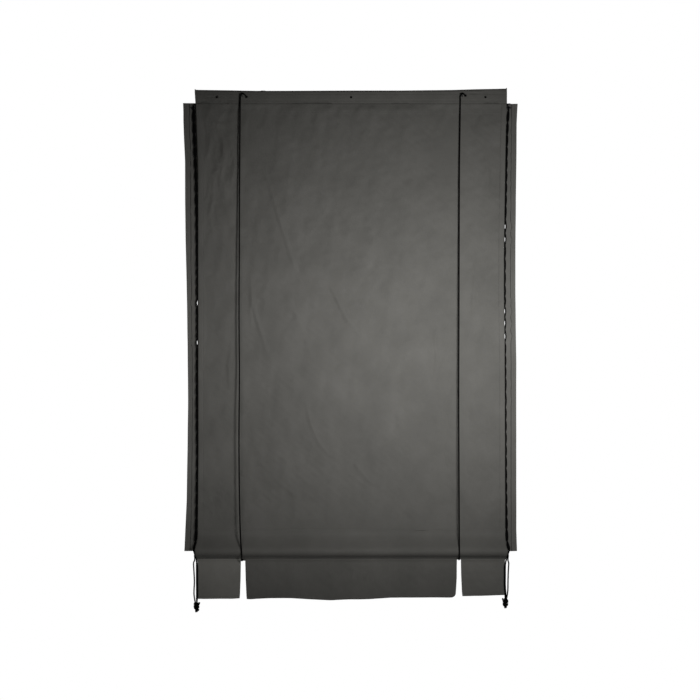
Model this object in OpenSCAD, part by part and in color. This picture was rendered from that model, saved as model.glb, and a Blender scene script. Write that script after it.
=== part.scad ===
// Roll-up fabric blind lifted by two cord slings, with two separate side strips.
// The back of the head batten is the plane y = 0, the front of the blind faces -Y, and +Z is up.
// The origin is the centre fixing hole, where it opens at the back of the batten.

/* [Panel] */
// Width of the panel at its top hem
panel_w = 996; // [880:2:1100]
// How far each side edge of the panel draws in half way down
panel_draw_in = 8; // [4:1:12]
// Height from the fixing holes down to the seam where the rod tunnel begins
panel_drop = 1386; // [1300:1:1500]
// Thickness of the coated cloth, doubled where it is hemmed
cloth_t = 1; // [0.8:0.1:1.2]

/* [Head] */
// Height of the hem that holds the head batten
hem_h = 41; // [38:1:46]
// Length of the head batten
batten_l = 944; // [860:2:950]
// Height of the head batten
batten_h = 22; // [20:1:24]
// Thickness of the head batten
batten_t = 12; // [11:0.5:12]
// Distance from the centre fixing hole to each end fixing hole
fixing_pitch = 430; // [380:5:440]
// Radius of each fixing hole in the batten
fixing_r = 2.75; // [2.25:0.25:3.25]

/* [Side strips] */
// Distance from the centre line to the inner edge of each strip
strip_inner_x = 494.5; // [493:0.5:496]
// Distance from the centre line to the outer edge of each strip at its ends
strip_outer_x = 534; // [530:1:560]
// How far the outer edge of each strip draws in half way down
strip_draw_in = 8; // [0:1:10]

/* [Rod and tail] */
// Outer diameter of the tube that the blind rolls up on
rod_d = 28; // [24:1:28]
// Wall of that tube
rod_wall = 1.5; // [1:0.25:2.5]
// Height of the tail that hangs below the tunnel
tail_h = 131; // [100:1:140]
// Width of each cord slit in the tail at its top
slit_w = 19; // [16:1:22]

/* [Cords] */
// Diameter of the cord
cord_d = 4.2; // [3.8:0.1:4.2]
// Where the left cord crosses the rod
left_cord_x = -346; // [-360:1:-330]
// Where the right cord crosses the rod
right_cord_x = 345; // [330:1:360]

/* [Hidden] */
$fn = 48;
eps = 0.01;

cloth_colour = [0.27, 0.27, 0.255];
cord_colour = [0.03, 0.03, 0.03];

// Depths, from the front of the cloth back to the wall
cloth_front_y = -batten_t - cloth_t;
cloth_back_y = -batten_t;
wall_y = cloth_t;
strip_y = -1.5;
tape_t = wall_y - strip_y - cloth_t;

// Levels down the blind
hem_top = hem_h / 2;
hem_seam = -hem_h / 2;
strip_top = -20.8;
strip_bottom = -panel_drop - 64;
rod_r = rod_d / 2;
rod_gap = 0.3;
rod_y = cloth_front_y - rod_gap - rod_r;
rod_z = -panel_drop - 66;
tunnel_r = rod_r + rod_gap + cloth_t;
tail_top = rod_z - tunnel_r - 3.7;
tail_bottom = tail_top - tail_h;
tail_half = panel_w / 2 - panel_draw_in + 0.5;
tunnel_half = tail_half + 4.5;
edge_points = 16;

// Screw eyes and rings
eye_r = 5.3;
eye_wire = 2;
front_eye_y = cloth_front_y - 7.3;
front_eye_z = 4;
rear_eye_y = -5.6;
rear_eye_z = -28;
ring_x = 500;
ring_y = -7.9;

// Eyelets where the front strands enter the hem
front_eyelets = [[-335, 1], [366, 5]];

// Tops of the front strands, under the front screw eyes
strand_top_z = -8;
strand_bottom_z = rod_z + 0.2;
bight_top_z = rod_z - 0.2;
left_strand_x = -354;
right_strand_x = 349;
front_strand_y = rod_y - tunnel_r - cord_d / 2 - rod_gap;
back_strand_y = rear_eye_y;
back_top_z = -40;

// Where the twisted pairs begin, and where they part into loops
pair_top_z = -38;
split_z = -1478;
pair_d = 2 * cord_d;

// Left strand from its screw eye, through the hem above the batten, to the right corner ring
front_run_left_route = [
    [-354, -20.3, -8], [-353.5, -20.3, 2], [-349, -20, 9], [-341, -17.5, 8], [-335, -12.5, 1],
    [-328, -8.4, 6], [-316, -8.2, 13.3], [470, -8.2, 13.3], [482, -8.2, 9], [486, -8.2, -6],
    [488, -8, -21], [495, -8, -27], [502, -9, -30], [505, -9.8, -38]
];
// Right strand, beside the left one
front_run_right_route = [
    [349, -20.3, -8], [349.5, -20.3, 1], [353, -20, 8], [360, -17, 9.5], [366, -12.5, 5],
    [373, -6, 9], [386, -3.6, 13.3], [470, -3.6, 13.3], [482, -3.6, 9], [486, -4.2, -6],
    [488, -5.2, -15], [495, -5.4, -26], [502, -5.4, -30], [505, -5.6, -38]
];
// Left back strand from its screw eye to the left corner ring
back_run_left_route = [
    [-350, -5.6, -40], [-351, -5.6, -34], [-357, -5.6, -30.2], [-480, -5.6, -30.2],
    [-495, -5.6, -29.5], [-502, -5.6, -31], [-505, -5.6, -38]
];
// Right back strand from its screw eye, through the left one, to the left corner ring
back_run_right_route = [
    [345, -5.6, -40], [344, -5.6, -34], [338, -5.6, -28], [326, -5.6, -25.8],
    [-480, -5.6, -25.8], [-495, -8.5, -26.5], [-502, -9.8, -30], [-505, -9.8, -38]
];
// One twisted pair from its corner ring, round the end of the roll, to where it parts,
// for the right-hand side
pair_route = [
    [504.5, -7.5, -38.5], [497.5, -7.5, -200], [493.5, -7.5, -450], [494, -7.5, -1200],
    [498.5, -7.5, -1405], [504.5, -7.5, -1446], [500, -7.5, -1460], [498, -7.5, -1478]
];
// The two strands of one loop, for the right-hand side, above its knot
inner_loop_route = [
    [495.9, -7.5, -1480], [492.6, -7.5, -1493], [492.6, -7.5, -1560], [492.8, -7.5, -1600]
];
outer_loop_route = [
    [500.1, -7.5, -1480], [503.4, -7.5, -1493], [503.2, -7.5, -1560], [497.4, -7.5, -1600]
];
// How much lower the left loop hangs than the right one
left_loop_drop = 13;
knot_top_z = -1600;
knot_x = 495;
knot_y = -7.5;

function unit(v) = v / norm(v);
function along(p, i) = unit(p[min(i + 1, len(p) - 1)] - p[max(i - 1, 0)]);
function mirrored(route) = [for (p = route) [-p[0], p[1], p[2]]];
function lowered(route, drop) = [for (i = [0 : len(route) - 1]) route[i] - [0, 0, i == 0 ? 0 : drop]];
function share_down(z, top, bottom) = (top + bottom - 2 * z) / (top - bottom);
function panel_half(z) =
    panel_w / 2 - panel_draw_in * (1 - pow(share_down(z, hem_seam, -panel_drop), 4));
function strip_half(z) =
    strip_outer_x - strip_draw_in * (1 - pow(share_down(z, strip_top, strip_bottom), 2));

// A cord swept along its route with eight sides; side is a direction that the route never takes
module cord(route, side = [0, 1, 0], d = cord_d) {
    sides = 8;
    rings = [
        for (i = [0 : len(route) - 1])
            let (t = along(route, i), u = unit(cross(t, side)), v = cross(t, u))
                for (k = [0 : sides - 1])
                    route[i] + d / 2 * (cos(360 * k / sides) * u + sin(360 * k / sides) * v)
    ];
    walls = [
        for (i = [0 : len(route) - 2])
            for (k = [0 : sides - 1])
                let (a = i * sides + k, b = i * sides + (k + 1) % sides)
                    [a + sides, b + sides, b, a]
    ];
    first = [for (k = [0 : sides - 1]) k];
    last = [for (k = [0 : sides - 1]) len(rings) - 1 - k];
    color(cord_colour) polyhedron(rings, concat(walls, [first, last]));
}

// A straight round bar from one point to another
module bar(from, to, r) {
    run = to - from;
    translate(from)
        rotate([0, acos(run[2] / norm(run)), atan2(run[1], run[0])])
            cylinder(h = norm(run), r = r);
}

// A flat outline in x and z, made into a sheet of the given thickness from its front face
module sheet(front_y, t) {
    translate([0, front_y + t, 0]) rotate([90, 0, 0]) linear_extrude(t) children();
}

// A hole through y
module y_hole(x, z, r, from_y, to_y) {
    translate([x, from_y, z]) rotate([-90, 0, 0]) cylinder(h = to_y - from_y, r = r);
}

// A ring of round wire, its axis along z
module wire_ring() {
    rotate_extrude() translate([eye_r, 0]) circle(d = eye_wire, $fn = 24);
}

// A pressed eyelet in the front cloth of the hem, its axis along y
module eyelet(x, z, hole_r, flange) {
    translate([x, cloth_front_y, z])
        rotate([90, 0, 0])
            difference() {
                union() {
                    cylinder(h = 0.9, r = hole_r + flange);
                    translate([0, 0, -cloth_t]) cylinder(h = cloth_t + eps, r = hole_r + 0.7);
                }
                translate([0, 0, -cloth_t - 1]) cylinder(h = cloth_t + 3, r = hole_r);
            }
}

module batten() {
    color([0.72, 0.56, 0.37])
        difference() {
            translate([-batten_l / 2, -batten_t, -batten_h / 2]) cube([batten_l, batten_t, batten_h]);
            for (x = [-fixing_pitch, 0, fixing_pitch])
                y_hole(x, 0, fixing_r, -batten_t - 1, 1);
            for (at = front_eyelets)
                translate([at[0] - 8, -batten_t - 1, at[1] - 5])
                    cube([24, batten_t - 0.5, batten_h]);
        }
}

module top_hem() {
    color(cloth_colour)
        difference() {
            translate([-panel_w / 2, cloth_front_y, hem_seam])
                cube([panel_w, wall_y - cloth_front_y, hem_h]);
            translate([-panel_w, cloth_back_y, hem_seam + cloth_t])
                cube([2 * panel_w, batten_t, hem_h - 2 * cloth_t]);
            for (x = [-fixing_pitch, 0, fixing_pitch]) {
                y_hole(x, 0, fixing_r + 0.95, cloth_front_y - 1, -1);
                y_hole(x, 0, fixing_r + 1.5, -1, wall_y + 1);
            }
            for (at = front_eyelets)
                y_hole(at[0], at[1], 4.2, cloth_front_y - 1, -1);
            translate([481, cloth_back_y, hem_seam - 1]) cube([9, batten_t, cloth_t + 2]);
        }
}

module fixing_eyelets() {
    color([0.1, 0.1, 0.1])
        for (x = [-fixing_pitch, 0, fixing_pitch])
            eyelet(x, 0, fixing_r + 0.25, 2.8);
}

module front_cord_eyelets() {
    color([0.06, 0.06, 0.06])
        for (at = front_eyelets)
            eyelet(at[0], at[1], 3.5, 2.6);
}

module front_screw_eyes() {
    color([0.08, 0.08, 0.08])
        for (x = [left_strand_x + 4, right_strand_x + 4]) {
            translate([x, front_eye_y, front_eye_z]) rotate([0, 40, 0]) wire_ring();
            y_hole(x, front_eye_z, eye_wire / 2, front_eye_y + eye_r, -3);
        }
}

module rear_screw_eyes() {
    color([0.08, 0.08, 0.08])
        for (x = [left_cord_x - 12, right_cord_x - 12]) {
            translate([x, rear_eye_y, rear_eye_z]) rotate([0, 90, 0]) wire_ring();
            translate([x, rear_eye_y, rear_eye_z + eye_r]) cylinder(h = 20, r = eye_wire / 2);
        }
}

module corner_rings() {
    color([0.05, 0.05, 0.05])
        for (side = [-1, 1])
            translate([side * ring_x, ring_y, rear_eye_z]) rotate([0, 90, 0]) wire_ring();
}

module corner_tabs() {
    color([0.05, 0.05, 0.05])
        for (side = [-1, 1])
            translate([side * 499 - 13, strip_y - 1.2, -44]) cube([26, 1.2, 44 + hem_seam + 1]);
}

module main_panel() {
    zs = [for (i = [0 : edge_points]) hem_seam - i * (panel_drop + hem_seam) / edge_points];
    color(cloth_colour)
        sheet(cloth_front_y, cloth_t)
            polygon(concat(
                [for (i = [0 : edge_points]) [panel_half(zs[i]), zs[i]]],
                [for (i = [edge_points : -1 : 0]) [-panel_half(zs[i]), zs[i]]]
            ));
}

// The right-hand strip
module strip() {
    h = strip_top - strip_bottom;
    zs = [for (i = [0 : edge_points]) strip_top - i * h / edge_points];
    color(cloth_colour)
        sheet(strip_y, cloth_t)
            polygon(concat(
                [[strip_inner_x, strip_bottom], [strip_inner_x, strip_top]],
                [for (z = zs) [strip_half(z), z]]
            ));
}

module side_strip_right() {
    strip();
}

module side_strip_left() {
    mirror([1, 0, 0]) strip();
}

// The tape that grips the wall behind the right-hand strip
module grip_tape() {
    color([0.04, 0.04, 0.04])
        translate([strip_inner_x + 6, strip_y + cloth_t, strip_bottom + 8])
            cube([20, tape_t, strip_top - strip_bottom - 16]);
}

module grip_tape_right() {
    grip_tape();
}

module grip_tape_left() {
    mirror([1, 0, 0]) grip_tape();
}

module front_strand(top_x, bottom_x) {
    color(cord_colour)
        bar([top_x, front_eye_y, strand_top_z], [bottom_x, front_strand_y, strand_bottom_z], cord_d / 2);
}

module front_strand_left() {
    front_strand(left_strand_x, left_cord_x);
}

module front_strand_right() {
    front_strand(right_strand_x, right_cord_x);
}

module back_strand(top_x, bottom_x) {
    color(cord_colour)
        bar([top_x, back_strand_y, back_top_z], [bottom_x, back_strand_y, strand_bottom_z], cord_d / 2);
}

module back_strand_left() {
    back_strand(back_run_left_route[0][0], left_cord_x);
}

module back_strand_right() {
    back_strand(back_run_right_route[0][0], right_cord_x);
}

module front_run_left() {
    cord(front_run_left_route, [0.1, 1, 0.1]);
}

module front_run_right() {
    cord(front_run_right_route, [0.1, 1, 0.1]);
}

module back_run_left() {
    cord(back_run_left_route);
}

module back_run_right() {
    cord(back_run_right_route);
}

// The cord under the roll, from its front to the back of the panel, at the given place along it
module sling_bight(x) {
    cord([
        [x, front_strand_y, bight_top_z], [x, front_strand_y + 0.6, rod_z - 9],
        [x, front_strand_y + 7, rod_z - 19], [x, front_strand_y + 20, rod_z - 24.2],
        [x, cloth_back_y + 1.5, rod_z - 22.2], [x, back_strand_y - 1, rod_z - 13],
        [x, back_strand_y, bight_top_z]
    ], [1, 0, 0]);
}

module sling_bight_left() {
    sling_bight(left_cord_x);
}

module sling_bight_right() {
    sling_bight(right_cord_x);
}

// Section of the tunnel: a drop shape round the rod that closes at the seam above it
module tunnel_section(grow) {
    hull() {
        translate([rod_y, rod_z]) circle(r = rod_r + rod_gap + grow, $fn = 40);
        translate([cloth_front_y - 2 + grow, -panel_drop - 4 + grow]) circle(r = 0.5 + grow, $fn = 16);
    }
}

module tunnel() {
    color(cloth_colour)
        translate([-tunnel_half, 0, 0])
            rotate([90, 0, 90])
                linear_extrude(2 * tunnel_half)
                    difference() {
                        union() {
                            intersection() {
                                tunnel_section(cloth_t);
                                translate([-200, -2000]) square([200 + cloth_back_y, 2000 - panel_drop]);
                            }
                            translate([cloth_front_y, tail_top])
                                square([cloth_t, -panel_drop - tail_top]);
                        }
                        intersection() {
                            tunnel_section(0);
                            translate([-200, -2000]) square([200 + cloth_front_y, 2000 - panel_drop]);
                        }
                    }
}

module tail_left() {
    color(cloth_colour)
        sheet(cloth_front_y, cloth_t)
            polygon([
                [-tail_half, tail_top], [left_cord_x + 1 - slit_w / 2, tail_top],
                [left_cord_x - 1.5 - slit_w / 2, tail_bottom], [-tail_half, tail_bottom]
            ]);
}

module tail_centre() {
    color(cloth_colour)
        sheet(cloth_front_y, cloth_t)
            difference() {
                polygon([
                    [left_cord_x + 1 + slit_w / 2, tail_top], [right_cord_x - slit_w / 2, tail_top],
                    [right_cord_x - 2 - slit_w / 2, tail_bottom],
                    [left_cord_x + 5.5 + slit_w / 2, tail_bottom]
                ]);
                translate([right_cord_x - 16 - slit_w / 2, tail_bottom + 14])
                    difference() {
                        translate([0, -15]) square(15);
                        circle(r = 14);
                    }
            }
}

module tail_right() {
    color(cloth_colour)
        sheet(cloth_front_y, cloth_t)
            polygon([
                [right_cord_x + slit_w / 2, tail_top], [tail_half, tail_top],
                [tail_half, tail_bottom + 7], [right_cord_x + 3.5 + slit_w / 2, tail_bottom + 7]
            ]);
}

module rod() {
    color([0.78, 0.79, 0.8])
        translate([-tunnel_half + 4, rod_y, rod_z])
            rotate([0, 90, 0])
                difference() {
                    cylinder(h = 2 * tunnel_half - 8, r = rod_r);
                    translate([0, 0, -1]) cylinder(h = 2 * tunnel_half, r = rod_r - rod_wall);
                }
}

// The end cap at the right-hand end of the rod
module rod_cap() {
    color([0.07, 0.07, 0.07])
        translate([tunnel_half - 4, rod_y, rod_z])
            rotate([0, 90, 0]) {
                cylinder(h = 2.5, r = rod_r);
                translate([0, 0, -14]) cylinder(h = 14 + eps, r = rod_r - rod_wall - 0.05);
            }
}

module rod_cap_right() {
    rod_cap();
}

module rod_cap_left() {
    mirror([1, 0, 0]) rod_cap();
}

module pull_pair_left() {
    cord(mirrored(pair_route), d = pair_d);
}

module pull_pair_right() {
    cord(pair_route, d = pair_d);
}

module pull_loop_left() {
    cord(mirrored(lowered(inner_loop_route, left_loop_drop)));
    cord(mirrored(lowered(outer_loop_route, left_loop_drop)));
}

module pull_loop_right() {
    cord(inner_loop_route);
    cord(outer_loop_route);
}

// A knot of both strands with their cut ends below it, hanging from the given level
module pull_knot(x, top) {
    color(cord_colour)
        translate([x, knot_y, top])
            rotate_extrude()
                polygon([
                    [0, 0], [5, 0], [7.4, -4], [8, -9], [7.2, -14], [5.2, -21], [3.4, -29],
                    [1.8, -33], [0, -33]
                ]);
}

module pull_knot_left() {
    pull_knot(-knot_x, knot_top_z - left_loop_drop);
}

module pull_knot_right() {
    pull_knot(knot_x, knot_top_z);
}

batten();
top_hem();
fixing_eyelets();
front_cord_eyelets();
front_screw_eyes();
rear_screw_eyes();
corner_rings();
corner_tabs();
main_panel();
side_strip_left();
side_strip_right();
grip_tape_left();
grip_tape_right();
front_strand_left();
front_strand_right();
back_strand_left();
back_strand_right();
front_run_left();
front_run_right();
back_run_left();
back_run_right();
sling_bight_left();
sling_bight_right();
tunnel();
tail_left();
tail_centre();
tail_right();
rod();
rod_cap_left();
rod_cap_right();
pull_pair_left();
pull_pair_right();
pull_loop_left();
pull_loop_right();
pull_knot_left();
pull_knot_right();
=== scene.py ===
import math

import bpy
import numpy as np
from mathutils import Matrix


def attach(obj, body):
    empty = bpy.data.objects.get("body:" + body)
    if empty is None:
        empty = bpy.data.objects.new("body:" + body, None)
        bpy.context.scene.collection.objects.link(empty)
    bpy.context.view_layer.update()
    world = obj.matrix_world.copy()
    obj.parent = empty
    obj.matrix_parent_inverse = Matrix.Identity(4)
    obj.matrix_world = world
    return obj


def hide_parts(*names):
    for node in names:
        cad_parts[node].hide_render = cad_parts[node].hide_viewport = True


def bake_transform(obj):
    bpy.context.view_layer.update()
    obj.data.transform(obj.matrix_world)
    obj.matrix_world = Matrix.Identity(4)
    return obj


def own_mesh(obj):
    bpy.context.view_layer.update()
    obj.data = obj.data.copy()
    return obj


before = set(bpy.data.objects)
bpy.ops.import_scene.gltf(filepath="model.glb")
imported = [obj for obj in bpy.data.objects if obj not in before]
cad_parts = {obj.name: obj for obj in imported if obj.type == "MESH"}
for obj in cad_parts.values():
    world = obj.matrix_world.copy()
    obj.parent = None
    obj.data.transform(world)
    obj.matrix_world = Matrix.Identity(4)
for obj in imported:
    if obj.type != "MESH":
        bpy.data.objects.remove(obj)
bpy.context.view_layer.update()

MM = 0.001
FIXING_X = 430
FIXINGS = [(-FIXING_X, 0), (0, 0), (FIXING_X, 0)]
CORD_HOLES = [(-335, 1), (366, 5)]

# -------- camera
camera_data = bpy.data.cameras.new("camera")
camera_data.sensor_width = 36.0
camera_data.lens = 96.4
camera_data.clip_end = 100.0
camera = bpy.data.objects.new("camera", camera_data)
camera.location = (-0.0032, -6.013, -0.8096)
camera.rotation_euler = (math.radians(90), 0, 0)
scene = bpy.context.scene
scene.collection.objects.link(camera)
scene.camera = camera


# -------- small helpers
def wobble(u, v, wavelength, seed, waves=12):
    """A smooth random field of about unit size: plane waves of nearly the given length."""
    rng = np.random.default_rng(seed)
    total = np.zeros(np.broadcast(u, v).shape)
    for _ in range(waves):
        turn = rng.uniform(0, 2 * math.pi)
        k = 2 * math.pi / (wavelength * rng.uniform(0.7, 1.5))
        total = total + np.sin(k * (u * math.cos(turn) + v * math.sin(turn)) + rng.uniform(0, 2 * math.pi))
    return total / math.sqrt(waves / 2)


def profile(points, soft=12):
    """A smooth function through (position, value) points, both in millimetres."""
    points = sorted(points)
    at = np.linspace(points[0][0], points[-1][0], 800)
    value = np.interp(at, [p[0] for p in points], [p[1] for p in points])
    kernel = np.hanning(2 * soft + 1)
    kernel /= kernel.sum()
    value = np.convolve(np.pad(value, soft, mode="edge"), kernel, mode="valid")
    return lambda s: np.interp(s, at, value)


def crease(x, z, points, width, height):
    """A fold of the given half width and height along a polyline, fading out at both ends."""
    pts = np.array(points, float)
    lengths = np.hypot(*(pts[1:] - pts[:-1]).T)
    total = lengths.sum()
    best = np.full(x.shape, 1e9)
    along = np.zeros(x.shape)
    done = 0.0
    for (ax, az), (bx, bz), length in zip(pts[:-1], pts[1:], lengths):
        t = unit(((x - ax) * (bx - ax) + (z - az) * (bz - az)) / length ** 2)
        away = np.hypot(x - ax - t * (bx - ax), z - az - t * (bz - az))
        nearer = away < best
        best = np.where(nearer, away, best)
        along = np.where(nearer, done + t * length, along)
        done += length
    return height * np.exp(-(best / width) ** 2) * unit(np.sin(math.pi * along / total)) ** 0.7


def unit(s):
    """Held between 0 and 1."""
    return np.clip(s, 0, 1)


def stacked(*parts):
    """Points from their parts, which may be grids or rows."""
    return np.stack(parts, -1)


def bell(s, centre, width):
    return np.exp(-((s - centre) / width) ** 2)


def turned(inward, reach=3.2, drop=2.0):
    """How far the rounded fold at an edge lies back, from its distance in from that edge."""
    t = unit(1 - inward / reach)
    return drop * (1 - np.sqrt(1 - t * t))


EDGE_STEPS = [0, 0.5, 1.1, 1.9, 3.0, 4.6, 7.0, 10.0, 13.0, 14.8, 16.2, 17.6, 19.2, 22.0]


def spaced(length, step, near=EDGE_STEPS):
    """Places from 0 to length, close together near both ends and a step apart between them."""
    near = np.array(near, float)
    between = np.linspace(near[-1], length - near[-1], max(2, int(round((length - 2 * near[-1]) / step)) + 1))
    return np.concatenate([near, between[1:-1], (length - near)[::-1]])


def new_object(name, vertices, faces, uvs, mat, smooth=True):
    mesh = bpy.data.meshes.new(name)
    mesh.from_pydata(vertices, [], faces)
    if uvs is not None:
        layer = mesh.uv_layers.new(name="flat")
        layer.data.foreach_set("uv", np.asarray(uvs, np.float32).ravel())
    mesh.polygons.foreach_set("use_smooth", [smooth] * len(mesh.polygons))
    mesh.materials.append(mat)
    mesh.update()
    obj = bpy.data.objects.new(name, mesh)
    scene.collection.objects.link(obj)
    return obj


def normals_of(grid):
    """Unit normals of a grid of points, rows down and columns across."""
    down = np.gradient(grid, axis=0)
    across = np.gradient(grid, axis=1)
    n = np.cross(down, across)
    return n / np.maximum(np.linalg.norm(n, axis=2, keepdims=True), 1e-12)


def cloth(name, grid, thick, mat, flat):
    """A closed sheet: grid is its face (rows, columns, xyz in mm), and the thickness goes behind the face.
    flat gives each point's place on the flat cloth in mm, which the weave follows."""
    rows, cols = grid.shape[:2]
    n = normals_of(grid)
    count = rows * cols
    vertices = np.concatenate([grid.reshape(-1, 3), (grid - n * thick).reshape(-1, 3)]) * MM
    index = np.arange(count).reshape(rows, cols)
    a, b = index[:-1, :-1].ravel(), index[:-1, 1:].ravel()
    c, d = index[1:, 1:].ravel(), index[1:, :-1].ravel()
    front = np.stack([a, d, c, b], 1)
    back = np.stack([a, b, c, d], 1) + count
    ring = np.concatenate([index[0, :], index[1:, -1], index[-1, -2::-1], index[-2:0:-1, 0]])
    after = np.roll(ring, -1)
    rim = np.stack([ring, after, after + count, ring + count], 1)
    faces = np.concatenate([front, back, rim])
    place = np.concatenate([flat.reshape(-1, 2)] * 2) * MM
    uvs = place[faces.ravel()]
    obj = new_object(name, vertices.tolist(), faces.tolist(), uvs, mat)
    shades = [True] * (len(front) + len(back)) + [False] * len(rim)
    obj.data.polygons.foreach_set("use_smooth", shades)
    return obj


def tube_frames(path):
    """Tangent, side and second side at each point of a path, carried along without twisting."""
    tangents = np.gradient(path, axis=0)
    tangents /= np.linalg.norm(tangents, axis=1, keepdims=True)
    side = np.cross(tangents[0], [0.3, 0.9, 0.2])
    side /= np.linalg.norm(side)
    sides = [side]
    for t in tangents[1:]:
        side = side - t * np.dot(side, t)
        side = side / np.linalg.norm(side)
        sides.append(side)
    sides = np.array(sides)
    return tangents, sides, np.cross(tangents, sides)


def lengths_along(path):
    """How far along the path each of its points is."""
    return np.concatenate([[0], np.cumsum(np.linalg.norm(np.diff(path, axis=0), axis=1))])


def at_places(path, where, at):
    return np.stack([np.interp(at, where, path[:, k]) for k in range(3)], 1)


def resample(points, step):
    """Points at an even step along a smooth curve through the given ones (a centripetal spline)."""
    p = np.array(points, float)
    if len(p) == 2:
        n = max(2, int(round(np.linalg.norm(p[1] - p[0]) / step)) + 1)
        return p[0] + (p[1] - p[0]) * np.linspace(0, 1, n)[:, None]
    ext = np.vstack([2 * p[0] - p[1], p, 2 * p[-1] - p[-2]])
    dense = []
    for i in range(len(p) - 1):
        q = ext[i:i + 4]
        t = [0.0]
        for j in range(3):
            t.append(t[-1] + max(np.linalg.norm(q[j + 1] - q[j]), 1e-6) ** 0.5)
        s = np.linspace(t[1], t[2], 24, endpoint=False)[:, None]

        def mixed(a, b, i, j):
            return (t[j] - s) / (t[j] - t[i]) * a + (s - t[i]) / (t[j] - t[i]) * b

        a1, a2, a3 = (mixed(q[k], q[k + 1], k, k + 1) for k in range(3))
        dense.append(mixed(mixed(a1, a2, 0, 2), mixed(a2, a3, 1, 3), 1, 2))
    dense = np.vstack(dense + [p[-1:]])
    run = lengths_along(dense)
    at = np.linspace(0, run[-1], max(2, int(round(run[-1] / step)) + 1))
    return at_places(dense, run, at)


def pinned(points, stretch=60.0, near=12.0):
    """The same route with a point added near both ends of each long stretch, so that it stays straight."""
    out = [np.array(points[0], float)]
    for b in points[1:]:
        a, b = out[-1], np.array(b, float)
        length = np.linalg.norm(b - a)
        if length > stretch:
            out += [a + (b - a) * near / length, b - (b - a) * near / length]
        out.append(b)
    return out


def path_length(path):
    return float(np.linalg.norm(np.diff(path, axis=0), axis=1).sum())


BRAID_PITCH = 9.0


def tube(name, path, radius, mat, braid=0.05, sides=12, taper=(0, 0), swell=0):
    """A round cord along a path in mm, its braid standing out a little, with rounded ends.
    swell is how much thicker it is at each point, as a share."""
    n = len(path)
    _, side, other = tube_frames(path)
    run = lengths_along(path)
    angle = 2 * math.pi * np.arange(sides) / sides
    phase = 2 * math.pi * run[:, None] / BRAID_PITCH
    lumps = np.cos(3 * angle[None, :] + phase) * np.cos(3 * angle[None, :] - phase)
    size = np.full(n, radius) * (1 + swell)
    for end, reach in enumerate(taper):
        if reach:
            far = run if end == 0 else run[-1] - run
            size = size * unit(0.35 + 0.65 * far / reach)
    r = size[:, None] * (1 + braid * lumps)
    rings = path[:, None, :] + r[..., None] * (
        np.cos(angle)[None, :, None] * side[:, None, :] + np.sin(angle)[None, :, None] * other[:, None, :])
    vertices = rings.reshape(-1, 3)
    index = np.arange(n * sides).reshape(n, sides)
    nxt = np.roll(index, -1, axis=1)
    walls = stacked(index[:-1], nxt[:-1], nxt[1:], index[1:]).reshape(-1, 4)
    uv = np.stack(np.meshgrid(np.arange(sides + 1) / sides, run * MM), -1)
    uvs = np.stack([uv[:-1, :-1], uv[:-1, 1:], uv[1:, 1:], uv[1:, :-1]], 2).reshape(-1, 2).tolist()
    faces = walls.tolist()
    tips = [path[0] - (path[1] - path[0]) / np.linalg.norm(path[1] - path[0]) * size[0] * 0.5,
            path[-1] + (path[-1] - path[-2]) / np.linalg.norm(path[-1] - path[-2]) * size[-1] * 0.5]
    base = len(vertices)
    for end, row in ((0, index[0]), (1, index[-1])):
        for k in range(sides):
            a, b = int(row[k]), int(row[(k + 1) % sides])
            faces.append([base + end, b, a] if end == 0 else [base + end, a, b])
            uvs += [[k / sides, run[-end] * MM]] * 3
    vertices = np.vstack([vertices, tips]) * MM
    return new_object(name, vertices.tolist(), faces, uvs, mat)


# -------- materials
class Nodes:
    """A material built from nodes: add() makes a node and sets what it is given."""

    def __init__(self, name):
        self.mat = bpy.data.materials.new(name)
        self.mat.use_nodes = True
        self.tree = self.mat.node_tree
        self.shader = self.tree.nodes["Principled BSDF"]

    def add(self, kind, inputs=(), **settings):
        node = self.tree.nodes.new(kind)
        for key, value in settings.items():
            setattr(node, key, value)
        for key, value in dict(inputs).items():
            self.put(value, node.inputs[key])
        return node

    def put(self, value, socket):
        if isinstance(value, bpy.types.NodeSocket):
            self.tree.links.new(value, socket)
        else:
            socket.default_value = value

    def set(self, **values):
        for key, value in values.items():
            self.put(value, self.shader.inputs[key.replace("_", " ")])

    def maths(self, operation, a, b=0.0, clamp=False):
        return self.add("ShaderNodeMath", {0: a, 1: b}, operation=operation, use_clamp=clamp).outputs[0]

    def times(self, a, b):
        return self.maths("MULTIPLY", a, b)

    def plus(self, a, b):
        return self.maths("ADD", a, b)

    def minus(self, a, b):
        return self.maths("SUBTRACT", a, b)

    def sine(self, a):
        return self.maths("SINE", a)

    def place(self):
        return self.add("ShaderNodeTexCoord").outputs["Object"]

    def flat(self):
        """The place on the flat cloth or round the cord, and its two parts."""
        uv = self.add("ShaderNodeUVMap", uv_map="flat").outputs["UV"]
        return uv, *self.axes(uv)[:2]

    def axes(self, where):
        parts = self.add("ShaderNodeSeparateXYZ", {"Vector": where}).outputs
        return parts["X"], parts["Y"], parts["Z"]

    def stretched(self, where, scale):
        return self.add("ShaderNodeMapping", {"Vector": where, "Scale": scale}).outputs["Vector"]

    def noise(self, where, scale, detail=3.0, rough=0.5):
        return self.add("ShaderNodeTexNoise", {"Vector": where, "Scale": scale, "Detail": detail,
                                               "Roughness": rough}).outputs["Fac"]

    def ramp(self, value, stops):
        node = self.add("ShaderNodeValToRGB", {"Fac": value})
        ramp = node.color_ramp
        while len(ramp.elements) > len(stops):
            ramp.elements.remove(ramp.elements[-1])
        while len(ramp.elements) < len(stops):
            ramp.elements.new(1.0)
        for element, (at, colour) in zip(ramp.elements, stops):
            element.position = at
            element.color = (*colour, 1.0)
        return node.outputs["Color"]

    def bump(self, height, distance, strength=1.0, below=None):
        inputs = {"Height": height, "Distance": distance, "Strength": strength}
        if below is not None:
            inputs["Normal"] = below
        return self.add("ShaderNodeBump", inputs).outputs["Normal"]


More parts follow.
